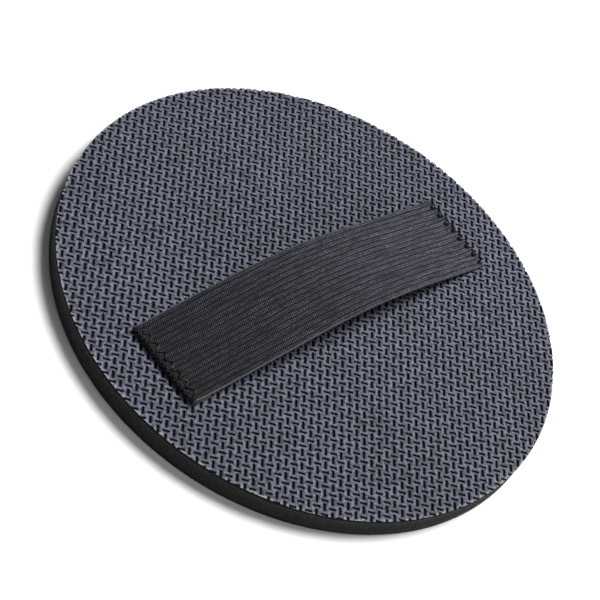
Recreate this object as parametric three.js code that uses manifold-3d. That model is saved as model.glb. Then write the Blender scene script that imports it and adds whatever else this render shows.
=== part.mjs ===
// Practice pad: a laminated rubber disc with an elastic hand strap sewn across one face.
// Millimetres, +Z up. The pad rests on its playing face, and the strap runs along X.
// The origin is the centre of the playing face.

import * as THREE from 'three';
import { mergeVertices } from 'three/addons/utils/BufferGeometryUtils.js';
import Module from 'manifold-3d';

const wasm = await Module();
wasm.setup();

// ---- driving dimensions ----

const PAD_DIAMETER = 200;
const PLAYING_SHEET = 2.5;
const GLUE_FILM = 0.125;
const FOAM_CORE = 5.25;
const TEXTURED_SHEET = 1.5;

// The strap is sewn a little off the middle of the disc.
const STRAP_SPAN = 157.5;
const STRAP_WIDTH = 35.5;
const STRAP_CENTRE_X = -1.25;
const STRAP_CENTRE_Y = -3.5;
const STRAP_THICKNESS = 1.25;
const STRAP_RISE = 12;
const FOLD_LENGTH = 9;
const FOLD_GAP = 0.375;
const SEWN_LENGTH = 4.5;

const THREAD_DIAMETER = 0.5;
const THREAD_CLEARANCE = 0.125;
const STITCH_COUNT = 16;
const STITCH_PITCH = 2.125;
const NEAR_ZIGZAG = 2;
const FAR_ZIGZAG = 3;
const NEAR_ROW_INSET = 2.75;
const LEG_SPACING = 0.7;
const HOLE_LENGTH = 1.5;
const HOLE_WIDTH = 0.9;
const SEAM_POCKET_DEPTH = 0.625;
const SEAM_POCKET_MARGIN = 1.5;
const CUT_MARGIN = 1;

const DISC_SIDES = 96;
const THREAD_SIDES = 6;
const FOLD_STEPS = 6;
const ARCH_STEPS = 36;

// ---- heights worked out from them, from the bottom layer up ----

const CORE_BOTTOM = PLAYING_SHEET + GLUE_FILM;
const CORE_TOP = CORE_BOTTOM + FOAM_CORE;
const SHEET_BOTTOM = CORE_TOP + GLUE_FILM;
const PAD_TOP = SHEET_BOTTOM + TEXTURED_SHEET;

const NEAR_END = STRAP_CENTRE_X - STRAP_SPAN / 2;
const FAR_END = STRAP_CENTRE_X + STRAP_SPAN / 2;
const FAR_STRAP_TOP = PAD_TOP + STRAP_THICKNESS;
const NEAR_STRAP_TOP = PAD_TOP + 2 * STRAP_THICKNESS + FOLD_GAP;
const THREAD_LIFT = THREAD_DIAMETER / 2 + THREAD_CLEARANCE;

// The two threads of a lockstitch meet half way down the textured sheet.
const MEETING_HEIGHT = SHEET_BOTTOM + TEXTURED_SHEET / 2;
const NEEDLE_LOW = MEETING_HEIGHT + THREAD_LIFT - THREAD_CLEARANCE / 2;
const BOBBIN_HIGH = MEETING_HEIGHT - THREAD_LIFT + THREAD_CLEARANCE / 2;
const BOBBIN_RUN = SHEET_BOTTOM - THREAD_LIFT;

// ---- materials ----

const rubber = (color, roughness) => new THREE.MeshStandardMaterial({ color, roughness, metalness: 0 });
const texturedRubber = rubber(0x3b3c42, 0.6);
const spongeRubber = rubber(0x141416, 0.95);
const playingRubber = rubber(0x1b1b1d, 0.8);
const glue = rubber(0x6e6650, 0.5);
const elastic = rubber(0x2b2c31, 0.85);
const thread = rubber(0x3a3a3e, 0.7);

// ---- solids ----

// A closed mesh as a solid that can be cut.
function solidOf(geometry) {
  const bare = geometry.clone();
  bare.deleteAttribute('normal');
  bare.deleteAttribute('uv');
  const merged = mergeVertices(bare);
  const vertProperties = new Float32Array(merged.attributes.position.array);
  const triVerts = new Uint32Array(merged.index.array);
  return new wasm.Manifold(new wasm.Mesh({ numProp: 3, vertProperties, triVerts }));
}

// The solid back as a geometry.
function geometryOf(solid) {
  const { vertProperties, triVerts } = solid.getMesh();
  const geometry = new THREE.BufferGeometry();
  geometry.setAttribute('position', new THREE.BufferAttribute(new Float32Array(vertProperties), 3));
  geometry.setIndex(new THREE.BufferAttribute(new Uint32Array(triVerts), 1));
  geometry.computeVertexNormals();
  return geometry;
}

// A geometry with each of the cutters taken out of it.
function cut(geometry, cutters) {
  const cutAway = (solid, cutter) => solid.subtract(solidOf(cutter));
  return geometryOf(cutters.reduce(cutAway, solidOf(geometry)));
}

// A flat disc of the pad's outline between two heights.
function disc(bottom, top) {
  const radius = PAD_DIAMETER / 2;
  const geometry = new THREE.CylinderGeometry(radius, radius, top - bottom, DISC_SIDES);
  geometry.rotateX(Math.PI / 2);
  geometry.translate(0, 0, (bottom + top) / 2);
  return geometry;
}

// A box by its centre in plan, its plan size and its bottom and top.
function block(x, y, lengthX, lengthY, bottom, top) {
  const geometry = new THREE.BoxGeometry(lengthX, lengthY, top - bottom);
  geometry.translate(x, y, (bottom + top) / 2);
  return geometry;
}

// ---- the strap ----

// Middle line of the band, seen from its side: the tab folded under at the near end, the hairpin,
// the sewn stretch, the arch, and the sewn stretch at the far end.
function strapMiddleLine() {
  const half = STRAP_THICKNESS / 2;
  const foldRadius = (STRAP_THICKNESS + FOLD_GAP) / 2;
  const foldX = NEAR_END + half + foldRadius;
  const nearZ = NEAR_STRAP_TOP - half;
  const farZ = FAR_STRAP_TOP - half;
  const line = [new THREE.Vector2(NEAR_END + FOLD_LENGTH, PAD_TOP + half)];
  for (let i = 0; i <= FOLD_STEPS; i += 1) {
    const angle = Math.PI * i / FOLD_STEPS;
    const x = foldX - foldRadius * Math.sin(angle);
    line.push(new THREE.Vector2(x, PAD_TOP + half + foldRadius * (1 - Math.cos(angle))));
  }
  const start = NEAR_END + SEWN_LENGTH;
  const length = STRAP_SPAN - 2 * SEWN_LENGTH;
  const rise = PAD_TOP + STRAP_RISE - half - (nearZ + farZ) / 2;
  for (let i = 0; i <= ARCH_STEPS; i += 1) {
    const along = i / ARCH_STEPS;
    const z = THREE.MathUtils.lerp(nearZ, farZ, along) + rise * Math.sin(Math.PI * along);
    line.push(new THREE.Vector2(start + length * along, z));
  }
  line.push(new THREE.Vector2(FAR_END, farZ));
  return line;
}

// The middle line moved sideways by a distance, mitred at its corners.
function offsetLine(line, distance) {
  const direction = (a, b) => b.clone().sub(a).normalize();
  return line.map((point, i) => {
    const before = direction(line[Math.max(i - 1, 0)], line[Math.max(i, 1)]);
    const after = direction(line[Math.min(i, line.length - 2)], line[Math.min(i + 1, line.length - 1)]);
    const along = before.clone().add(after).normalize();
    const mitre = distance / along.dot(after);
    return new THREE.Vector2(point.x - along.y * mitre, point.y + along.x * mitre);
  });
}

function strapBand() {
  const line = strapMiddleLine();
  const oneSide = offsetLine(line, STRAP_THICKNESS / 2);
  const otherSide = offsetLine(line, -STRAP_THICKNESS / 2).reverse();
  const outline = new THREE.Shape([...oneSide, ...otherSide]);
  const geometry = new THREE.ExtrudeGeometry(outline, { depth: STRAP_WIDTH, steps: 1, bevelEnabled: false });
  geometry.rotateX(Math.PI / 2);
  geometry.translate(0, STRAP_CENTRE_Y + STRAP_WIDTH / 2, 0);
  return geometry;
}

// ---- the seams ----

// A path that a tube follows from corner to corner, without smoothing.
class CornerPath extends THREE.Curve {
  constructor(corners) {
    super();
    this.corners = corners;
  }

  getPointAt(u) {
    const place = u * (this.corners.length - 1);
    const i = Math.min(Math.floor(place), this.corners.length - 2);
    return this.corners[i].clone().lerp(this.corners[i + 1], place - i);
  }

  getTangentAt(u) {
    const last = this.corners.length - 1;
    const i = Math.round(u * last);
    const before = this.corners[Math.max(i, 1)].clone().sub(this.corners[Math.max(i - 1, 0)]).normalize();
    const after = this.corners[Math.min(i + 1, last)].clone().sub(this.corners[Math.min(i, last - 1)]);
    return before.add(after.normalize()).normalize();
  }
}

function threadTube(corners) {
  const section = new THREE.Shape();
  for (let i = 0; i < THREAD_SIDES; i += 1) {
    const angle = 2 * Math.PI * i / THREAD_SIDES;
    const point = [Math.cos(angle) * THREAD_DIAMETER / 2, Math.sin(angle) * THREAD_DIAMETER / 2];
    if (i === 0) section.moveTo(...point);
    else section.lineTo(...point);
  }
  const options = { steps: corners.length - 1, bevelEnabled: false, extrudePath: new CornerPath(corners) };
  return new THREE.ExtrudeGeometry(section, options);
}

// Needle holes of one zigzag row across the strap, centred on x.
function stitchHoles(x, zigzag) {
  const holes = [];
  for (let i = 0; i < STITCH_COUNT; i += 1) {
    const side = i % 2 === 0 ? -1 : 1;
    const y = STRAP_CENTRE_Y + (i - (STITCH_COUNT - 1) / 2) * STITCH_PITCH;
    holes.push(new THREE.Vector2(x + side * zigzag / 2, y));
  }
  return holes;
}

// A thread that runs from hole to hole at one height and turns back inside each hole at another.
// runHeight gives the height of the run at x; an edge is a line that the runs cross at full height.
function threadCorners(holes, runHeight, turnHeight, edge) {
  const corners = [];
  holes.forEach((hole, i) => {
    const z = runHeight(hole.x);
    const first = hole.y - LEG_SPACING / 2;
    const second = hole.y + LEG_SPACING / 2;
    if (i > 0) {
      corners.push(new THREE.Vector3(hole.x, first, z));
      corners.push(new THREE.Vector3(hole.x, first, turnHeight));
    }
    if (i < holes.length - 1) {
      corners.push(new THREE.Vector3(hole.x, second, turnHeight));
      corners.push(new THREE.Vector3(hole.x, second, z));
      if (edge) {
        const next = holes[i + 1];
        const share = (edge.x - hole.x) / (next.x - hole.x);
        const y = THREE.MathUtils.lerp(second, next.y - LEG_SPACING / 2, share);
        corners.push(new THREE.Vector3(edge.x, y, edge.z));
      }
    }
  });
  return corners;
}

// An upright cutter for one needle hole, from below the textured sheet to above the strap.
function holeCutter(hole) {
  const bottom = SHEET_BOTTOM - CUT_MARGIN;
  const top = NEAR_STRAP_TOP + CUT_MARGIN;
  return block(hole.x, hole.y, HOLE_WIDTH, HOLE_LENGTH, bottom, top);
}

// The room that a row's bobbin thread takes under the textured sheet.
function seamPocket(x, zigzag) {
  const width = zigzag + 2 * SEAM_POCKET_MARGIN;
  const floor = CORE_TOP - SEAM_POCKET_DEPTH;
  return block(x, STRAP_CENTRE_Y, width, STRAP_WIDTH, floor, SHEET_BOTTOM + GLUE_FILM);
}

// ---- assembly ----

const pad = new THREE.Group();

function addPart(name, geometry, material) {
  const mesh = new THREE.Mesh(geometry, material);
  mesh.name = name;
  pad.add(mesh);
}

const nearRowX = NEAR_END + NEAR_ROW_INSET;
const nearHoles = stitchHoles(nearRowX, NEAR_ZIGZAG);
const farHoles = stitchHoles(FAR_END, FAR_ZIGZAG);
const holeCutters = [...nearHoles, ...farHoles].map(holeCutter);
const pockets = [seamPocket(nearRowX, NEAR_ZIGZAG), seamPocket(FAR_END, FAR_ZIGZAG)];

const nearRun = () => NEAR_STRAP_TOP + THREAD_LIFT;
const farRun = (x) => (x < FAR_END ? FAR_STRAP_TOP : PAD_TOP) + THREAD_LIFT;
const farEdge = { x: FAR_END + THREAD_LIFT, z: FAR_STRAP_TOP + THREAD_LIFT };
const bobbinRun = () => BOBBIN_RUN;

addPart('playing_sheet', disc(0, PLAYING_SHEET), playingRubber);
addPart('lower_glue_film', disc(PLAYING_SHEET, CORE_BOTTOM), glue);
addPart('foam_core', cut(disc(CORE_BOTTOM, CORE_TOP), pockets), spongeRubber);
addPart('upper_glue_film', cut(disc(CORE_TOP, SHEET_BOTTOM), pockets), glue);
addPart('textured_sheet', cut(disc(SHEET_BOTTOM, PAD_TOP), holeCutters), texturedRubber);
addPart('elastic_strap', cut(strapBand(), holeCutters), elastic);
addPart('near_needle_thread', threadTube(threadCorners(nearHoles, nearRun, NEEDLE_LOW)), thread);
addPart('far_needle_thread', threadTube(threadCorners(farHoles, farRun, NEEDLE_LOW, farEdge)), thread);
addPart('near_bobbin_thread', threadTube(threadCorners(nearHoles, bobbinRun, BOBBIN_HIGH)), thread);
addPart('far_bobbin_thread', threadTube(threadCorners(farHoles, bobbinRun, BOBBIN_HIGH)), thread);

export default pad;
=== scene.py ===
"""Practice pad: an embossed rubber disc with a sewn elastic hand strap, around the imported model."""

import math
import random

import bpy
import numpy as np
from mathutils import Matrix, Vector


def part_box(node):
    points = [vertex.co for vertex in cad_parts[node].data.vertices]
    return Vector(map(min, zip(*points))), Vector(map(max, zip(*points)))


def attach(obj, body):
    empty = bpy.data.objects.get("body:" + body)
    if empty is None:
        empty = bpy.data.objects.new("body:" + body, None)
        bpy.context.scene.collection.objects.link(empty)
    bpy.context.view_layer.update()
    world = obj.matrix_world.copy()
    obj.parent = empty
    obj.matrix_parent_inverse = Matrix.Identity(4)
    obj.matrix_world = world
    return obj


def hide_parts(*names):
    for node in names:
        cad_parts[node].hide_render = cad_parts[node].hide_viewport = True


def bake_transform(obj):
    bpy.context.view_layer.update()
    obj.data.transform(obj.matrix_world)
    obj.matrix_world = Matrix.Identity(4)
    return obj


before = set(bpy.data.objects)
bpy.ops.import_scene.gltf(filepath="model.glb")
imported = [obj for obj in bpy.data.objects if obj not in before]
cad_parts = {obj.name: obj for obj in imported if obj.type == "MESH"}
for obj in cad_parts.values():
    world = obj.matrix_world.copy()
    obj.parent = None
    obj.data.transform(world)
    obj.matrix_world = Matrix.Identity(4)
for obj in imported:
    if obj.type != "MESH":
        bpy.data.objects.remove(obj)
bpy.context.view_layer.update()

MM = 0.001

# ---- places and sizes taken from the frame ----

strap_low, strap_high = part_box("elastic_strap")
sheet_low, sheet_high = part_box("textured_sheet")
core_low, core_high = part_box("foam_core")
playing_low, playing_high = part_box("playing_sheet")

PAD_RADIUS = (sheet_high[0] - sheet_low[0]) / 2
PAD_TOP = sheet_high[2]
SHEET_BOTTOM = sheet_low[2]
STRAP_NEAR, STRAP_FAR = strap_low[0], strap_high[0]
STRAP_WIDTH = strap_high[1] - strap_low[1]
STRAP_CENTRE_Y = (strap_low[1] + strap_high[1]) / 2
STRAP_TOP = strap_high[2]

# ---- the strap and its seams, as the CAD has them ----

STRAP_THICKNESS = 1.25 * MM
FOLD_LENGTH = 9 * MM
FOLD_GAP = 0.375 * MM
SEWN_LENGTH = 4.5 * MM
STITCH_COUNT = 16
STITCH_PITCH = 2.125 * MM
NEAR_ROW_INSET = 2.75 * MM
NEAR_ZIGZAG = 2 * MM
FAR_ZIGZAG = 3 * MM
THREAD_RADIUS = 0.25 * MM

NEAR_ROW_X = STRAP_NEAR + NEAR_ROW_INSET
NEAR_STRAP_TOP = PAD_TOP + 2 * STRAP_THICKNESS + FOLD_GAP
FAR_STRAP_TOP = PAD_TOP + STRAP_THICKNESS

# ---- surface detail ----

EMBOSS_PITCH = 2.92 * MM
EMBOSS_DEPTH = 0.7 * MM
EMBOSS_SHIFT = 0.22 * MM
EMBOSS_TURN = math.radians(-42.5)
EMBOSS_UNEVEN = 0.03 * MM
SHALLOWEST_SLOT = 0.85
# Half length and half width of a slot's lip, for the slots of each direction.
LEVEL_SLOT = (1.44 * MM, 0.48 * MM)
UPRIGHT_SLOT = (1.64 * MM, 0.54 * MM)
# Inset at the ends, inset at the sides and share of the depth, at the lip, shoulder and floor.
SLOT_LEVELS = [(0, 0, 0.16), (0.05 * MM, 0.10 * MM, 0.38), (0.12 * MM, 0.18 * MM, 1.0)]
CUTTER_MARGIN = 1 * MM
RIM_CLEARANCE = 0.02 * MM

RIB_COUNT = 17
RIB_PITCH = STRAP_WIDTH / RIB_COUNT
WEAVE_PITCH = 0.75 * MM
COLUMNS_PER_RIB = 6
EDGE_ROUNDING = 0.55 * MM
STATION_STEP = 0.8 * MM
FOLD_TURNS = 12
STRAP_TWIST = 0.9 * MM
CORNER_REACH = 4 * MM
CORNER_LENGTH = 7.2 * MM
CORNER_DRAWN_BACK = 1.5 * MM
CORNER_LIFT = 0.8 * MM

NEAR_DRILL_RADIUS = 0.6 * MM
FAR_DRILL_RADIUS = 1.05 * MM
NEAR_PINCH_REACH = 0.6 * MM
FAR_PINCH_REACH = 1.25 * MM

THREAD_MEETING = 0.75 * MM
THREAD_STEP = 0.22 * MM
PLY_TURN = 1.6 * MM


# ---- meshes ----

def mesh_piece(name, vertices, faces, smooth_angle=None):
    """A new object from plain vertices and faces, smooth shaded up to an angle where one is given."""
    mesh = bpy.data.meshes.new(name)
    mesh.from_pydata([tuple(v) for v in vertices], [], [tuple(f) for f in faces])
    mesh.update()
    if smooth_angle is not None:
        mesh.shade_smooth()
        mesh.set_sharp_from_angle(angle=smooth_angle)
    piece = bpy.data.objects.new(name, mesh)
    bpy.context.scene.collection.objects.link(piece)
    return piece


def lathe(name, profile, sides, smooth_angle, wobble=None):
    """A closed body of revolution. The profile runs from the axis at the bottom to the axis at the top."""
    rings = profile[1:-1]
    angles = [2 * math.pi * i / sides for i in range(sides)]
    vertices = [(0, 0, profile[0][1])]
    for level, (radius, z) in enumerate(rings):
        for step, angle in enumerate(angles):
            r = radius + (wobble(level, step) if wobble else 0)
            vertices.append((r * math.cos(angle), r * math.sin(angle), z))
    vertices.append((0, 0, profile[-1][1]))
    last = len(vertices) - 1
    top = 1 + (len(rings) - 1) * sides
    faces = []
    for i in range(sides):
        j = (i + 1) % sides
        faces.append((0, 1 + j, 1 + i))
        faces.append((last, top + i, top + j))
        for level in range(len(rings) - 1):
            a, b = 1 + level * sides, 1 + (level + 1) * sides
            faces.append((a + i, a + j, b + j, b + i))
    return mesh_piece(name, vertices, faces, smooth_angle)


def boolean(piece, cutter, operation):
    """The piece cut by, or kept inside, the cutter, which is then removed."""
    modifier = piece.modifiers.new("cut", "BOOLEAN")
    modifier.operation = operation
    modifier.solver = "MANIFOLD"
    modifier.object = cutter
    evaluated = piece.evaluated_get(bpy.context.evaluated_depsgraph_get())
    mesh = bpy.data.meshes.new_from_object(evaluated)
    piece.modifiers.clear()
    piece.data = mesh
    bpy.data.objects.remove(cutter)


# ---- the embossed sheet ----

def slot_rings(half_length, half_width):
    """Lip, shoulder and floor of one recessed slot with rounded ends: three rings of eight points."""
    end_rounding, flat_end = 0.6, 0.5
    rings = []
    for end_inset, side_inset, share in SLOT_LEVELS:
        length, width = half_length - end_inset, half_width - side_inset
        corner_x, corner_y = length - width * end_rounding, width * flat_end
        quarter = [(length, corner_y), (corner_x, width)]
        half = quarter + [(-x, y) for x, y in reversed(quarter)]
        ring = half + [(-x, -y) for x, y in half]
        rings += [(x, y, -share * EMBOSS_DEPTH) for x, y in ring]
    return np.array(rings)


def cell_faces(corner_count):
    """Faces of one cell: raised land, lip, wall and floor.

    Points 0 to 23 are the slot's three rings, and the cell's own corners come after them.
    """
    if corner_count == 4:
        faces = [(7, 27, 24, 0), (1, 24, 25, 2), (3, 25, 26, 4), (5, 26, 27, 6)]
        faces += [(0, 24, 1), (2, 25, 3), (4, 26, 5), (6, 27, 7)]
    else:
        faces = [(24 + i, 24 + (i + 1) % 8, (i + 1) % 8, i) for i in range(8)]
    for ring in (0, 8):
        faces += [(ring + i, ring + (i + 1) % 8, ring + 8 + (i + 1) % 8, ring + 8 + i) for i in range(8)]
    faces += [(16, 17, 18, 19), (16, 19, 20, 23), (20, 21, 22, 23)]
    return faces


def close_below(vertices, faces, bottom):
    """Makes an open surface into a closed slab, with side walls and one flat face at a height."""
    edges = {}
    for face in faces:
        for a, b in zip(face, face[1:] + face[:1]):
            edges[a, b] = True
    rim = {b: a for a, b in edges if (b, a) not in edges}
    lower = {}
    for corner in rim:
        lower[corner] = len(vertices)
        vertices.append((vertices[corner][0], vertices[corner][1], bottom))
    faces += [(a, b, lower[b], lower[a]) for a, b in rim.items()]
    loop = [next(iter(rim))]
    while rim[loop[-1]] != loop[0]:
        loop.append(rim[loop[-1]])
    faces.append(tuple(lower[corner] for corner in loop))


def embossed_slab():
    """A square slab of the embossed sheet, larger than the disc, with a slot in every cell.

    Every grid corner is a lower and an upper point, so the cells of the upright slots are taller
    than the cells of the level slots beside them.
    """
    chance = random.Random(5)
    overhang = 1.02
    half = math.ceil(PAD_RADIUS * overhang / EMBOSS_PITCH)
    side = 2 * half + 1
    level = slot_rings(*LEVEL_SLOT)
    upright = slot_rings(*UPRIGHT_SLOT)[:, [1, 0, 2]] * (-1, 1, 1)
    start = (-half - 0.5) * EMBOSS_PITCH
    vertices = [(start + i * EMBOSS_PITCH, start + j * EMBOSS_PITCH + shift, PAD_TOP)
                for j in range(side + 1)
                for i in range(side + 1)
                for shift in (-EMBOSS_SHIFT, EMBOSS_SHIFT)]
    faces = []
    for j in range(side):
        for i in range(side):
            turned = (i + j) % 2
            slot = (upright if turned else level).copy()
            slot[:, 2] *= chance.uniform(SHALLOWEST_SLOT, 1.0)
            slot[:, 0] += (i - half) * EMBOSS_PITCH + chance.uniform(-EMBOSS_UNEVEN, EMBOSS_UNEVEN)
            slot[:, 1] += (j - half) * EMBOSS_PITCH + chance.uniform(-EMBOSS_UNEVEN, EMBOSS_UNEVEN)
            slot[:, 2] += PAD_TOP
            first = len(vertices)
            vertices += slot.tolist()
            low_left = 2 * (j * (side + 1) + i)
            low_right, high_left = low_left + 2, low_left + 2 * (side + 1)
            high_right = high_left + 2
            if turned:
                corners = [high_left + 1, high_left, low_left + 1, low_left,
                           low_right, low_right + 1, high_right, high_right + 1]
            else:
                corners = [high_right, high_left, low_left + 1, low_right + 1]
            lookup = [first + k for k in range(len(slot))] + corners
            faces += [tuple(lookup[k] for k in face) for face in cell_faces(len(corners))]
    close_below(vertices, faces, SHEET_BOTTOM - CUTTER_MARGIN)
    turn = np.array(Matrix.Rotation(EMBOSS_TURN, 3, "Z"))
    return mesh_piece("embossed_face", np.array(vertices) @ turn.T, faces)


def needle_holes(row_x, zigzag, looseness):
    """Places of one zigzag row's needle holes, a little uneven."""
    chance = random.Random(11)
    holes = []
    for i in range(STITCH_COUNT):
        side = -1 if i % 2 == 0 else 1
        x = row_x + side * zigzag / 2 + chance.uniform(-looseness, looseness)
        y = STRAP_CENTRE_Y + (i - (STITCH_COUNT - 1) / 2) * STITCH_PITCH
        holes.append((x, y + chance.uniform(-looseness, looseness) / 2))
    return holes


near_holes = needle_holes(NEAR_ROW_X, NEAR_ZIGZAG, looseness=0.15 * MM)
far_holes = needle_holes(STRAP_FAR, FAR_ZIGZAG, looseness=0.35 * MM)


def hole_drills(holes, radius, sides=10):
    """One object holding an upright drill at each hole."""
    vertices, faces = [], []
    for x, y in holes:
        first = len(vertices)
        for z in (SHEET_BOTTOM - CUTTER_MARGIN, PAD_TOP + CUTTER_MARGIN):
            for k in range(sides):
                angle = 2 * math.pi * k / sides
                vertices.append((x + radius * math.cos(angle), y + radius * math.sin(angle), z))
        faces.append(tuple(first + k for k in reversed(range(sides))))
        faces.append(tuple(first + sides + k for k in range(sides)))
        for k in range(sides):
            j = (k + 1) % sides
            faces.append((first + k, first + j, first + sides + j, first + sides + k))
    return mesh_piece("drills", vertices, faces)


def make_embossed_face():
    """The slotted slab punched out to the disc's outline, with both rows of needle holes drilled."""
    piece = embossed_slab()
    radius = PAD_RADIUS - RIM_CLEARANCE
    above = PAD_TOP + CUTTER_MARGIN
    profile = [(0, SHEET_BOTTOM), (radius, SHEET_BOTTOM), (radius, above), (0, above)]
    boolean(piece, lathe("die", profile, sides=360, smooth_angle=None), "INTERSECT")
    boolean(piece, hole_drills(near_holes, NEAR_DRILL_RADIUS), "DIFFERENCE")
    boolean(piece, hole_drills(far_holes, FAR_DRILL_RADIUS), "DIFFERENCE")
    piece.data.shade_smooth()
    piece.data.set_sharp_from_angle(angle=math.radians(55))
    return piece


# ---- core and playing sheet ----

def make_sponge_core():
    """The sponge disc, its cut side wall slightly rough and pulled in between the two skins."""
    chance = random.Random(3)
    sides, levels = 900, 11
    low, high = core_low[2], core_high[2]
    side_inset = 0.12 * MM
    hollow = 0.18 * MM
    grain = 0.07 * MM
    profile = [(0, low)]
    for i in range(levels):
        share = i / (levels - 1)
        inset = hollow * math.sin(math.pi * share)
        profile.append((PAD_RADIUS - side_inset - inset, low + (high - low) * share))
    profile.append((0, high))

    def wobble(level, step):
        return chance.uniform(-grain, grain)

    return lathe("sponge_core", profile, sides, smooth_angle=math.radians(80), wobble=wobble)


def make_playing_face():
    """The rubber sheet that is struck: its lower edge is rounded and its face is plain."""
    chance = random.Random(7)
    low, high = playing_low[2], playing_high[2]
    rounding = 0.7 * MM
    roughness = 0.02 * MM
    flat_rings = 3
    steps = 5
    profile = [(0, low), (PAD_RADIUS * 0.5, low), (PAD_RADIUS - 4 * rounding, low)]
    for i in range(steps + 1):
        angle = math.pi / 2 * i / steps
        radius = PAD_RADIUS - rounding + rounding * math.sin(angle)
        profile.append((radius, low + rounding - rounding * math.cos(angle)))
    profile += [(PAD_RADIUS, (low + high) / 2), (PAD_RADIUS, high), (0, high)]

    def wobble(level, step):
        return chance.uniform(-roughness, 0.0) if level >= flat_rings else 0

    return lathe("playing_face", profile, sides=480, smooth_angle=math.radians(50), wobble=wobble)


# ---- the strap ----

def strap_middle(along):
    """Height of the strap's middle surface over its arch, at 0 to 1 along it."""
    flattening = 0.05
    half = STRAP_THICKNESS / 2
    near_z, far_z = NEAR_STRAP_TOP - half, FAR_STRAP_TOP - half
    rise = STRAP_TOP - half - (near_z + far_z) / 2
    arch = math.sin(math.pi * along) - flattening * math.sin(3 * math.pi * along)
    return near_z + (far_z - near_z) * along + rise * arch / (1 + flattening)


def strap_stations():
    """Points (x, z, share of the arch) along the middle surface.

    They run along the tab, round the hairpin fold, along the sewn stretch, over the arch and
    along the flat end.
    """
    half = STRAP_THICKNESS / 2
    fold_radius = (STRAP_THICKNESS + FOLD_GAP) / 2
    fold_x = STRAP_NEAR + half + fold_radius
    points = []
    tab_end = STRAP_NEAR + FOLD_LENGTH
    tab_steps = round((tab_end - fold_x) / STATION_STEP)
    for i in range(tab_steps):
        points.append((tab_end + (fold_x - tab_end) * i / tab_steps, PAD_TOP + half, 0.0))
    for i in range(FOLD_TURNS + 1):
        angle = math.pi * i / FOLD_TURNS
        z = PAD_TOP + half + fold_radius * (1 - math.cos(angle))
        points.append((fold_x - fold_radius * math.sin(angle), z, 0.0))
    start, end = STRAP_NEAR + SEWN_LENGTH, STRAP_FAR - SEWN_LENGTH
    sewn_steps = round((start - fold_x) / STATION_STEP)
    for i in range(1, sewn_steps):
        points.append((fold_x + (start - fold_x) * i / sewn_steps, NEAR_STRAP_TOP - half, 0.0))
    arch_steps = round((end - start) / STATION_STEP)
    for i in range(arch_steps + 1):
        share = i / arch_steps
        points.append((start + (end - start) * share, strap_middle(share), share))
    end_steps = round(SEWN_LENGTH / STATION_STEP)
    for i in range(1, end_steps + 1):
        points.append((end + SEWN_LENGTH * i / end_steps, FAR_STRAP_TOP - half, 1.0))
    return points


def soften(points, rounds, first):
    """Rounds off the bends of the middle line beyond a station, by averaging neighbours."""
    line = np.array(points)
    for _ in range(rounds):
        line[first:-1, 1] = (line[first - 1:-2, 1] + 2 * line[first:-1, 1] + line[first + 1:, 1]) / 4
    return line


def strap_columns():
    """Places across the strap: evenly over the ribs, and closer together at the rounded edges."""
    half = STRAP_WIDTH / 2
    inner = np.linspace(-half, half, RIB_COUNT * COLUMNS_PER_RIB + 1)[1:-1]
    edge = half - np.array([0, 0.04, 0.12]) * MM
    return np.concatenate([-edge, inner, edge[::-1]])


def strap_thickness(x, y, holes):
    """Share of the full thickness at a place, and how strongly the nearest needle hole pinches it.

    The ribs, the rounded edges and the pinch each make the band thinner.
    """
    between_ribs = 0.72
    at_edge = 0.12
    pinch_depth = 0.45
    rib = between_ribs + (1 - between_ribs) * abs(math.cos(math.pi * y / RIB_PITCH)) ** 0.7
    into_edge = max(0.0, abs(y) - (STRAP_WIDTH / 2 - EDGE_ROUNDING)) / EDGE_ROUNDING
    edge = math.sqrt(max(0.0, 1 - into_edge ** 2))
    place = y + STRAP_CENTRE_Y
    pinch = max(math.exp(-((x - hx) ** 2 + (place - hy) ** 2) / reach ** 2) for hx, hy, reach in holes)
    return rib * (at_edge + (1 - at_edge) * edge) * (1 - pinch_depth * pinch), pinch


def corner_flare(x, y, z):
    """How far the folded end's front corner is drawn back, and its upper layer lifted, at a place."""
    front = min(1.0, max(0.0, -y - (STRAP_WIDTH / 2 - CORNER_REACH)) / CORNER_REACH) ** 2
    near = min(1.0, max(0.0, 1 - (x - STRAP_NEAR) / CORNER_LENGTH))
    upper = min(1.0, max(0.0, (z - PAD_TOP - STRAP_THICKNESS / 2) / STRAP_THICKNESS))
    return CORNER_DRAWN_BACK * front * near, CORNER_LIFT * front * near * upper


def make_hand_strap():
    """One woven band as its middle surface; Solidify gives it its ribbed thickness in every pose."""
    stations = strap_stations()
    first_arch = next(i for i, p in enumerate(stations) if p[2] > 0)
    line = soften(stations, rounds=14, first=first_arch - 4)
    columns = strap_columns()
    holes = [(*hole, NEAR_PINCH_REACH) for hole in near_holes]
    holes += [(*hole, FAR_PINCH_REACH) for hole in far_holes]
    vertices, shares, pinches = [], [], []
    for x, z, along in line:
        lift = STRAP_TWIST * math.sin(2 * math.pi * along)
        for y in columns:
            back, up = corner_flare(x, y, z)
            vertices.append((x + back, y + STRAP_CENTRE_Y, z + up + lift * y / (STRAP_WIDTH / 2)))
            share, pinch = strap_thickness(x, y, holes)
            shares.append(share)
            pinches.append(pinch)
    wide = len(columns)
    faces = [(r * wide + c, (r + 1) * wide + c, (r + 1) * wide + c + 1, r * wide + c + 1)
             for r in range(len(line) - 1) for c in range(wide - 1)]
    strap = mesh_piece("hand_strap", vertices, faces, math.radians(180))
    group = strap.vertex_groups.new(name="thickness")
    for index, share in enumerate(shares):
        group.add([index], share, "REPLACE")
    hole = strap.data.attributes.new("needle_hole", "FLOAT", "POINT")
    hole.data.foreach_set("value", np.array(pinches, np.float32))
    solidify = strap.modifiers.new("thickness", "SOLIDIFY")
    solidify.thickness = STRAP_THICKNESS
    solidify.offset = 0
    solidify.vertex_group = "thickness"
    solidify.thickness_vertex_group = 0.0
    return strap


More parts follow.
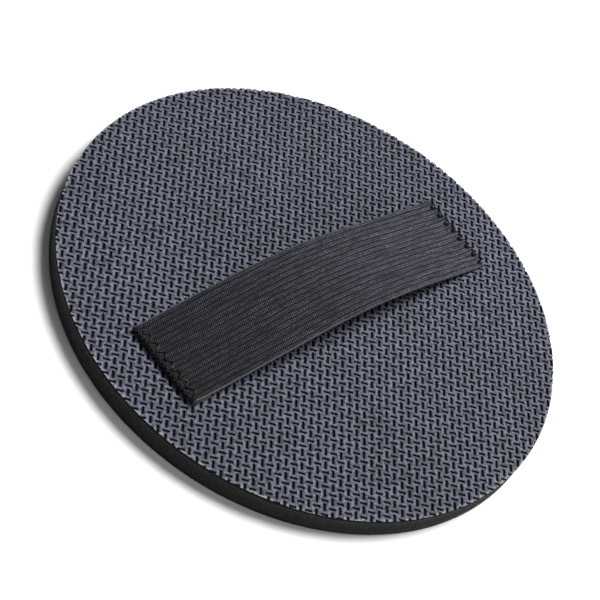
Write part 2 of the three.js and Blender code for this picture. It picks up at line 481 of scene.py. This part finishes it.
# ---- the stitching ----

def smooth_line(corners, step):
    """A Catmull-Rom line through the corners, sampled about every step."""
    points = [2 * corners[0] - corners[1]] + corners + [2 * corners[-1] - corners[-2]]
    line = []
    for a, b, c, d in zip(points, points[1:], points[2:], points[3:]):
        pieces = max(2, math.ceil((c - b).length / step))
        for i in range(pieces):
            t = i / pieces
            line.append(0.5 * (2 * b + (c - a) * t + (2 * a - 5 * b + 4 * c - d) * t ** 2
                               + (3 * b - a - 3 * c + d) * t ** 3))
    line.append(corners[-1])
    return line


def plied_thread(name, line):
    """Two plies twisted round each other along a line."""
    ply_radius = THREAD_RADIUS * 0.62
    offset = THREAD_RADIUS * 0.5
    sides = 8
    tangents = []
    for i in range(len(line)):
        behind, ahead = line[max(i - 1, 0)], line[min(i + 1, len(line) - 1)]
        tangents.append((ahead - behind).normalized())
    vertices, faces = [], []
    for ply in range(2):
        first = len(vertices)
        normal = tangents[0].orthogonal().normalized()
        travelled = 0.0
        for i, (point, tangent) in enumerate(zip(line, tangents)):
            normal = (normal - tangent * normal.dot(tangent)).normalized()
            other = tangent.cross(normal)
            travelled += (point - line[i - 1]).length if i else 0
            twist = 2 * math.pi * travelled / PLY_TURN + math.pi * ply
            centre = point + (normal * math.cos(twist) + other * math.sin(twist)) * offset
            for k in range(sides):
                angle = 2 * math.pi * k / sides
                around = normal * math.cos(angle) + other * math.sin(angle)
                vertices.append(centre + around * ply_radius)
        for i in range(len(line) - 1):
            for k in range(sides):
                a, b = first + i * sides + k, first + i * sides + (k + 1) % sides
                faces.append((a, b, b + sides, a + sides))
        last = first + (len(line) - 1) * sides
        faces.append(tuple(first + k for k in reversed(range(sides))))
        faces.append(tuple(last + k for k in range(sides)))
    return mesh_piece(name, vertices, faces, math.radians(180))


def stitch_line(holes, surface, edge_x, looseness):
    """The needle thread's line: out of one hole, over the surface and down into the next.

    Between two holes it rises over edge_x, or over the middle where that is None.
    """
    chance = random.Random(23)
    low = SHEET_BOTTOM + THREAD_MEETING
    leg = 0.3 * MM
    low_leg = leg * 0.7
    sink = 0.15 * MM
    clearance = 0.05 * MM
    corners = []
    for i, (x, y) in enumerate(holes):
        top = surface(x) + THREAD_RADIUS
        if i > 0:
            corners += [Vector((x, y - leg, top - sink)), Vector((x, y - low_leg, low))]
        if i < len(holes) - 1:
            corners += [Vector((x, y + low_leg, low)), Vector((x, y + leg, top - sink))]
            next_x, next_y = holes[i + 1]
            share = 0.5 if edge_x is None else (edge_x - x) / (next_x - x)
            middle_x = x + (next_x - x) * share
            middle_y = y + (next_y - y) * share
            lift = THREAD_RADIUS + chance.uniform(clearance, clearance + looseness)
            middle_z = max(surface(x), surface(next_x)) + lift
            corners.append(Vector((middle_x, middle_y, middle_z)))
    return smooth_line(corners, THREAD_STEP)


def near_surface(x):
    """Height of what the near row lies on: the folded strap."""
    return NEAR_STRAP_TOP


def far_surface(x):
    """Height of what the far row lies on: the strap as far as its end, then the pad."""
    return FAR_STRAP_TOP if x < STRAP_FAR else PAD_TOP


def make_stitches():
    """The needle threads of both rows. The far row zigzags over the strap's cut end."""
    near = stitch_line(near_holes, near_surface, edge_x=None, looseness=0.1 * MM)
    far = stitch_line(far_holes, far_surface, edge_x=STRAP_FAR + 0.2 * MM, looseness=0.5 * MM)
    return plied_thread("near_stitches", near), plied_thread("far_stitches", far)


# ---- materials ----

# The Mix node's colour sockets, which come after those of its other data types.
MIX_COLOR_A, MIX_COLOR_B, MIX_COLOR_RESULT = 6, 7, 2


class Shader:
    """A material under construction: adds nodes and joins them. Coordinates are in metres."""

    def __init__(self, name, color, roughness, specular=0.5):
        self.material = bpy.data.materials.new(name)
        self.material.use_nodes = True
        self.tree = self.material.node_tree
        self.surface = self.tree.nodes["Principled BSDF"]
        self.surface.inputs["Base Color"].default_value = (*color, 1)
        self.surface.inputs["Roughness"].default_value = roughness
        self.surface.inputs["Specular IOR Level"].default_value = specular
        self.position = self.add("ShaderNodeTexCoord").outputs["Object"]

    def add(self, kind, **settings):
        node = self.tree.nodes.new(kind)
        for key, value in settings.items():
            setattr(node, key, value)
        return node

    def join(self, source, target):
        self.tree.links.new(source, target)

    def math(self, operation, a, b=0.0):
        """The result of an operation on two numbers or sockets."""
        node = self.add("ShaderNodeMath", operation=operation)
        for socket, value in zip(node.inputs, (a, b)):
            if isinstance(value, (int, float)):
                socket.default_value = value
            else:
                self.join(value, socket)
        return node.outputs[0]

    def noise(self, scale, detail=2.0, stretch=(1, 1, 1)):
        """Smooth noise from 0 to 1, with a scale in features to the metre."""
        mapping = self.add("ShaderNodeMapping")
        mapping.inputs["Scale"].default_value = stretch
        self.join(self.position, mapping.inputs["Vector"])
        texture = self.add("ShaderNodeTexNoise")
        texture.inputs["Scale"].default_value = scale
        texture.inputs["Detail"].default_value = detail
        self.join(mapping.outputs[0], texture.inputs["Vector"])
        return texture.outputs["Fac"]

    def ramp(self, value, stops):
        """A colour for each value, blended between stops of a value and its colour."""
        node = self.add("ShaderNodeValToRGB")
        elements = node.color_ramp.elements
        for element, (place, color) in zip((elements[0], elements[1]), (stops[0], stops[-1])):
            element.position = place
            element.color = (*color, 1)
        for place, color in stops[1:-1]:
            elements.new(place).color = (*color, 1)
        self.join(value, node.inputs["Fac"])
        return node.outputs["Color"]

    def mix(self, share, a, b, blend_type="MIX"):
        """Colour a with a share of colour b blended in."""
        node = self.add("ShaderNodeMix", data_type="RGBA", blend_type=blend_type)
        sockets = (node.inputs["Factor"], node.inputs[MIX_COLOR_A], node.inputs[MIX_COLOR_B])
        for socket, value in zip(sockets, (share, a, b)):
            if isinstance(value, (int, float)):
                socket.default_value = value
            elif isinstance(value, tuple):
                socket.default_value = (*value, 1)
            else:
                self.join(value, socket)
        return node.outputs[MIX_COLOR_RESULT]

    def map_range(self, value, low, high, to_low=0.0, to_high=1.0):
        """The value carried from one range to another, and held at the ends of the second."""
        node = self.add("ShaderNodeMapRange")
        for key, number in (("From Min", low), ("From Max", high), ("To Min", to_low), ("To Max", to_high)):
            node.inputs[key].default_value = number
        self.join(value, node.inputs["Value"])
        return node.outputs["Result"]

    def axes(self):
        node = self.add("ShaderNodeSeparateXYZ")
        self.join(self.position, node.inputs[0])
        return node.outputs

    def bump(self, height, distance, strength=1.0):
        node = self.add("ShaderNodeBump")
        node.inputs["Distance"].default_value = distance
        node.inputs["Strength"].default_value = strength
        self.join(height, node.inputs["Height"])
        self.join(node.outputs["Normal"], self.surface.inputs["Normal"])

    def color(self, value):
        self.join(value, self.surface.inputs["Base Color"])

    def roughness(self, value):
        self.join(value, self.surface.inputs["Roughness"])


def textured_rubber():
    """Dusty black rubber with painted glints in fine flecks: the slots and the land edges round them are
    painted nearly black as painted shade, and the raised edge of the cut rim carries a painted highlight.
    """
    shader = Shader("textured_rubber", (0.1, 0.1, 0.11), 0.65, specular=0.25)
    x, y, z = shader.axes()
    height = shader.map_range(z, PAD_TOP - EMBOSS_DEPTH, PAD_TOP)
    # Painted shade: the slot floors and walls are painted nearly black and the land darker at its edges, for
    # the shade in and round the slots; the land keeps the rubber's own colour.
    painted_slot_floor_shade, painted_slot_wall_shade = (0.002, 0.002, 0.0025), (0.006, 0.006, 0.008)
    painted_land_edge_shade, land = (0.055, 0.059, 0.082), (0.097, 0.102, 0.140)
    # Painted highlight colour for the raised edge of the cut rim.
    painted_rim_highlight = (0.34, 0.35, 0.38)
    base = shader.ramp(height, [(0.0, painted_slot_floor_shade), (0.6, painted_slot_wall_shade), (0.85, painted_land_edge_shade), (1.0, land)])
    # Dust and painted glints: fine noise that darkens and lightens the colour in small flecks.
    dust_and_glints = shader.map_range(shader.noise(1100, 3.0), 0.38, 0.64, 0.45, 1.75)
    patches = shader.map_range(shader.noise(16, 2.0), 0.3, 0.7, 0.9, 1.1)
    color = shader.mix(1.0, base, shader.math("MULTIPLY", dust_and_glints, patches), "MULTIPLY")
    # Painted highlight along the raised edge of the cut rim, flecked by the same fine noise.
    across = shader.math("ADD", shader.math("MULTIPLY", x, x), shader.math("MULTIPLY", y, y))
    from_centre = shader.math("SQRT", across)
    rim = shader.map_range(from_centre, PAD_RADIUS - 1.1 * MM, PAD_RADIUS - 0.2 * MM)
    raised = shader.map_range(height, 0.7, 1.0)
    rim_highlight_share = shader.math("MULTIPLY", raised, shader.map_range(dust_and_glints, 0.7, 1.2, 0.25, 0.8))
    shader.color(shader.mix(shader.math("MULTIPLY", rim, rim_highlight_share), color, painted_rim_highlight))
    shader.roughness(shader.map_range(height, 0.3, 0.9, 1.0, 0.62))
    shader.bump(shader.noise(2600, 2.0), 0.04 * MM)
    return shader.material


def sponge_rubber():
    """Black sponge with fine open pores, painted darker in the pores as painted shade and in random patches.
    """
    shader = Shader("sponge_rubber", (0.02, 0.02, 0.021), 0.92, specular=0.3)
    # Painted shade in the pores, mixed with random darker patches.
    pore_painted_shade, skin = (0.003, 0.003, 0.004), (0.020, 0.020, 0.022)
    cells = shader.add("ShaderNodeTexVoronoi")
    cells.inputs["Scale"].default_value = 1900
    shader.join(shader.position, cells.inputs["Vector"])
    pores = shader.map_range(cells.outputs["Distance"], 0.1, 0.6)
    patchy = shader.math("MULTIPLY", pores, shader.noise(500, 3.0))
    shader.color(shader.ramp(patchy, [(0.1, pore_painted_shade), (0.7, skin)]))
    shader.bump(pores, 0.12 * MM)
    return shader.material


def playing_rubber():
    """Plain matt black rubber with a fine grain."""
    shader = Shader("playing_rubber", (0.012, 0.012, 0.013), 0.8, specular=0.2)
    dark, pale = (0.006, 0.006, 0.007), (0.016, 0.016, 0.018)
    grain = shader.noise(1500, 4.0)
    shader.color(shader.ramp(shader.noise(60, 4.0), [(0.3, dark), (0.75, pale)]))
    shader.roughness(shader.map_range(grain, 0.3, 0.7, 0.7, 0.9))
    shader.bump(grain, 0.06 * MM)
    return shader.material


def woven_elastic():
    """Fine cross picks, staggered from column to column, over the lengthwise ribs that the mesh has.

    The band is painted darker towards its near end and lighter towards its far end as painted shading of its
    arch, black at the needle holes and on its sides as painted shade, darker between its ribs and its picks
    as painted shade, and pale along the top corners of its edges as a painted highlight.
    """
    shader = Shader("woven_elastic", (0.04, 0.04, 0.045), 0.85, specular=0.15)
    # Painted shade: the gaps between the picks are painted near black; painted highlight: the pale colour
    # laid along the band's top edges.
    painted_weave_shade, yarn_top, painted_edge_highlight = (0.002, 0.002, 0.003), (0.094, 0.095, 0.128), (0.13, 0.13, 0.14)
    shader.surface.inputs["Sheen Weight"].default_value = 0.08
    shader.surface.inputs["Sheen Roughness"].default_value = 0.5
    x, world_y, _ = shader.axes()
    sway = shader.map_range(shader.noise(45, 2.0, (1, 2, 1)), 0.3, 0.7, -0.22 * MM, 0.22 * MM)
    y = shader.math("ADD", shader.math("SUBTRACT", world_y, STRAP_CENTRE_Y), sway)
    column_width = RIB_PITCH / 2
    column = shader.math("FLOOR", shader.math("DIVIDE", y, column_width))
    stagger = shader.math("MULTIPLY", column, math.pi)
    turns = shader.math("MULTIPLY", x, 2 * math.pi / WEAVE_PITCH)
    wave = shader.math("SINE", shader.math("ADD", turns, stagger))
    picks = shader.map_range(wave, -0.8, 0.8, 0.05, 1.0)
    within = shader.math("ABSOLUTE", shader.math("SINE", shader.math("MULTIPLY", y, math.pi / column_width)))
    weave = shader.math("MULTIPLY", picks, shader.map_range(within, 0, 0.9, 0.25, 1.0))
    yarn = shader.ramp(weave, [(0.1, painted_weave_shade), (0.95, yarn_top)])
    # Painted shade: the band is painted darker in the troughs between its ribs.
    crest = shader.math("ABSOLUTE", shader.math("COSINE", shader.math("MULTIPLY", y, math.pi / RIB_PITCH)))
    rib = shader.map_range(crest, 0.08, 0.75, 0.08, 1.1)
    streaks = shader.noise(330, 5.0, (0.35, 3, 1))
    uneven = shader.map_range(streaks, 0.32, 0.68, 0.5, 1.6)
    lint = shader.map_range(shader.noise(1500, 2.0), 0.36, 0.64, 0.45, 1.55)
    # Painted shading: darker at the near end, where the arch faces away from the key light, lighter at the
    # far end, where it faces it.
    painted_arch_shading = shader.map_range(x, STRAP_NEAR, STRAP_FAR, 0.34, 1.35)
    # Painted shade: black at each needle hole.
    hole = shader.add("ShaderNodeAttribute", attribute_name="needle_hole").outputs["Fac"]
    dark = shader.map_range(hole, 0.3, 0.7, 1.0, 0.02)
    # Random streaks and lint, times the painted shading along the band, the painted hole shade and the
    # painted rib shade.
    streaks_and_painted_shading = shader.math("MULTIPLY", shader.math("MULTIPLY", uneven, lint), painted_arch_shading)
    tone_and_painted_shade = shader.math("MULTIPLY", streaks_and_painted_shading, shader.math("MULTIPLY", dark, rib))
    from_middle = shader.math("ABSOLUTE", shader.math("SUBTRACT", world_y, STRAP_CENTRE_Y))
    half = STRAP_WIDTH / 2
    # Painted highlight: a pale line along the top corner of each edge, strongest at the near end.
    edge_highlight_band = shader.map_range(from_middle, half - 0.65 * MM, half - 0.4 * MM)
    painted_edge_highlight_share = shader.math("MULTIPLY", edge_highlight_band, shader.map_range(x, STRAP_NEAR, STRAP_FAR, 0.9, 0.1))
    worn = shader.mix(painted_edge_highlight_share, shader.mix(1.0, yarn, tone_and_painted_shade, "MULTIPLY"), painted_edge_highlight)
    # Painted shade: the band's sides are painted black.
    side = shader.map_range(from_middle, half - 0.13 * MM, half - 0.04 * MM, 1.0, 0.04)
    shader.color(shader.mix(1.0, worn, side, "MULTIPLY"))
    shader.bump(shader.math("ADD", weave, shader.math("MULTIPLY", crest, 1.5)), 0.22 * MM)
    return shader.material


def sewing_thread():
    """Black thread, pale in a few short stretches at random."""
    shader = Shader("sewing_thread", (0.02, 0.02, 0.022), 0.7, specular=0.15)
    black, pale_stretch = (0.003, 0.003, 0.004), (0.080, 0.080, 0.090)
    fuzz = shader.noise(2500, 3.0)
    shader.color(shader.ramp(shader.noise(420, 2.0), [(0.5, black), (0.68, pale_stretch)]))
    shader.bump(fuzz, 0.05 * MM)
    return shader.material


def glue_film():
    """Dried contact glue, blotted."""
    shader = Shader("glue_film", (0.03, 0.03, 0.028), 0.4)
    thin, thick = (0.015, 0.014, 0.013), (0.035, 0.033, 0.03)
    blots = shader.noise(300, 3.0)
    shader.color(shader.ramp(blots, [(0.3, thin), (0.7, thick)]))
    shader.bump(blots, 0.05 * MM)
    return shader.material


def white_floor():
    """The plain pale floor of the studio."""
    shader = Shader("white_floor", (0.9, 0.9, 0.9), 0.8, specular=0.1)
    white, whiter = (0.9, 0.9, 0.9), (0.92, 0.92, 0.92)
    shader.color(shader.ramp(shader.noise(3, 1.0), [(0.3, white), (0.7, whiter)]))
    return shader.material


def paint(piece, material):
    """Gives a piece one material in place of any it had."""
    piece.data.materials.clear()
    piece.data.materials.append(material)


# ---- camera, light and floor ----

CAMERA_AIM = Vector((-9.35 * MM, -1.65 * MM, PAD_TOP))
CAMERA_AZIMUTH = math.radians(-155.43)
CAMERA_ELEVATION = math.radians(45.25)
CAMERA_ROLL = math.radians(32.76)
CAMERA_DISTANCE = 0.7043
CAMERA_LENS = 114.4

KEY_DIRECTION = math.radians(-5)
KEY_ELEVATION = math.radians(58)
KEY_SPREAD = math.radians(30)
KEY_POWER = 4.4
FILL_DIRECTION = math.radians(-100)
FILL_ELEVATION = math.radians(35)
FILL_DISTANCE = 1.4
FILL_SIZE = 0.9
FILL_POWER = 4
AMBIENT = 0.13


def direction_from(turn, elevation):
    """Unit vector towards a place at an angle from +X and an elevation."""
    level = math.cos(elevation)
    return Vector((level * math.cos(turn), level * math.sin(turn), math.sin(elevation)))


def make_camera():
    """The photograph's camera: aimed at a point of the pad's face, and rolled about its own axis."""
    back = direction_from(CAMERA_AZIMUTH, CAMERA_ELEVATION)
    level_right = Vector((0, 0, 1)).cross(back).normalized()
    level_up = back.cross(level_right)
    right = level_right * math.cos(CAMERA_ROLL) + level_up * math.sin(CAMERA_ROLL)
    up = back.cross(right)
    place = CAMERA_AIM + back * CAMERA_DISTANCE
    data = bpy.data.cameras.new("camera")
    data.lens = CAMERA_LENS
    data.sensor_width = 36
    data.clip_start = 0.01
    camera = bpy.data.objects.new("camera", data)
    camera.matrix_world = Matrix((
        (right.x, up.x, back.x, place.x),
        (right.y, up.y, back.y, place.y),
        (right.z, up.z, back.z, place.z),
        (0, 0, 0, 1),
    ))
    bpy.context.scene.collection.objects.link(camera)
    bpy.context.scene.camera = camera


def key_light(direction, power):
    """A soft light so large and far off that it is the same all over the floor."""
    data = bpy.data.lights.new("key", "SUN")
    data.angle = KEY_SPREAD
    data.energy = power
    light = bpy.data.objects.new("key", data)
    light.rotation_euler = direction.to_track_quat("Z", "Y").to_euler()
    bpy.context.scene.collection.objects.link(light)


def area_light(name, direction, distance, size, power):
    """A round area light that faces the origin from a distance."""
    data = bpy.data.lights.new(name, "AREA")
    data.shape = "DISK"
    data.size = size
    data.energy = power
    light = bpy.data.objects.new(name, data)
    light.location = direction * distance
    light.rotation_euler = direction.to_track_quat("Z", "Y").to_euler()
    bpy.context.scene.collection.objects.link(light)


def make_studio():
    """Key light, fill light, a weak even light from all round, and a white floor and background."""
    key_light(direction_from(KEY_DIRECTION, KEY_ELEVATION), KEY_POWER)
    area_light("fill", direction_from(FILL_DIRECTION, FILL_ELEVATION), FILL_DISTANCE, FILL_SIZE, FILL_POWER)
    world = bpy.data.worlds.new("studio")
    world.use_nodes = True
    nodes, links = world.node_tree.nodes, world.node_tree.links
    seen = nodes.new("ShaderNodeBackground")
    seen.inputs["Color"].default_value = (1, 1, 1, 1)
    lit_by = nodes["Background"]
    lit_by.inputs["Color"].default_value = (0.95, 0.97, 1.0, 1)
    lit_by.inputs["Strength"].default_value = AMBIENT
    rays = nodes.new("ShaderNodeLightPath")
    mix = nodes.new("ShaderNodeMixShader")
    links.new(rays.outputs["Is Camera Ray"], mix.inputs[0])
    links.new(lit_by.outputs[0], mix.inputs[1])
    links.new(seen.outputs[0], mix.inputs[2])
    links.new(mix.outputs[0], nodes["World Output"].inputs[0])
    bpy.context.scene.world = world
    bpy.context.scene.view_settings.view_transform = "Standard"
    reach = 6.0
    corners = [(-reach, -reach, 0), (reach, -reach, 0), (reach, reach, 0), (-reach, reach, 0)]
    floor = mesh_piece("floor", corners, [(0, 1, 2, 3)])
    floor.data.materials.append(white_floor())


# ---- putting it together ----

make_camera()
make_studio()

thread_material = sewing_thread()
glue_material = glue_film()

embossed_face = make_embossed_face()
paint(embossed_face, textured_rubber())
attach(embossed_face, "pad")
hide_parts("textured_sheet")

sponge_core = make_sponge_core()
paint(sponge_core, sponge_rubber())
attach(sponge_core, "pad")
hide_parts("foam_core")

playing_face = make_playing_face()
paint(playing_face, playing_rubber())
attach(playing_face, "pad")
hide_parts("playing_sheet")

hand_strap = make_hand_strap()
paint(hand_strap, woven_elastic())
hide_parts("elastic_strap")
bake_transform(hand_strap)

near_stitches, far_stitches = make_stitches()
for stitches, node in ((near_stitches, "near_needle_thread"), (far_stitches, "far_needle_thread")):
    paint(stitches, thread_material)
    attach(stitches, "pad")
    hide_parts(node)

for node in ("lower_glue_film", "upper_glue_film"):
    paint(bpy.data.objects[node], glue_material)
for node in ("near_bobbin_thread", "far_bobbin_thread"):
    paint(bpy.data.objects[node], thread_material)
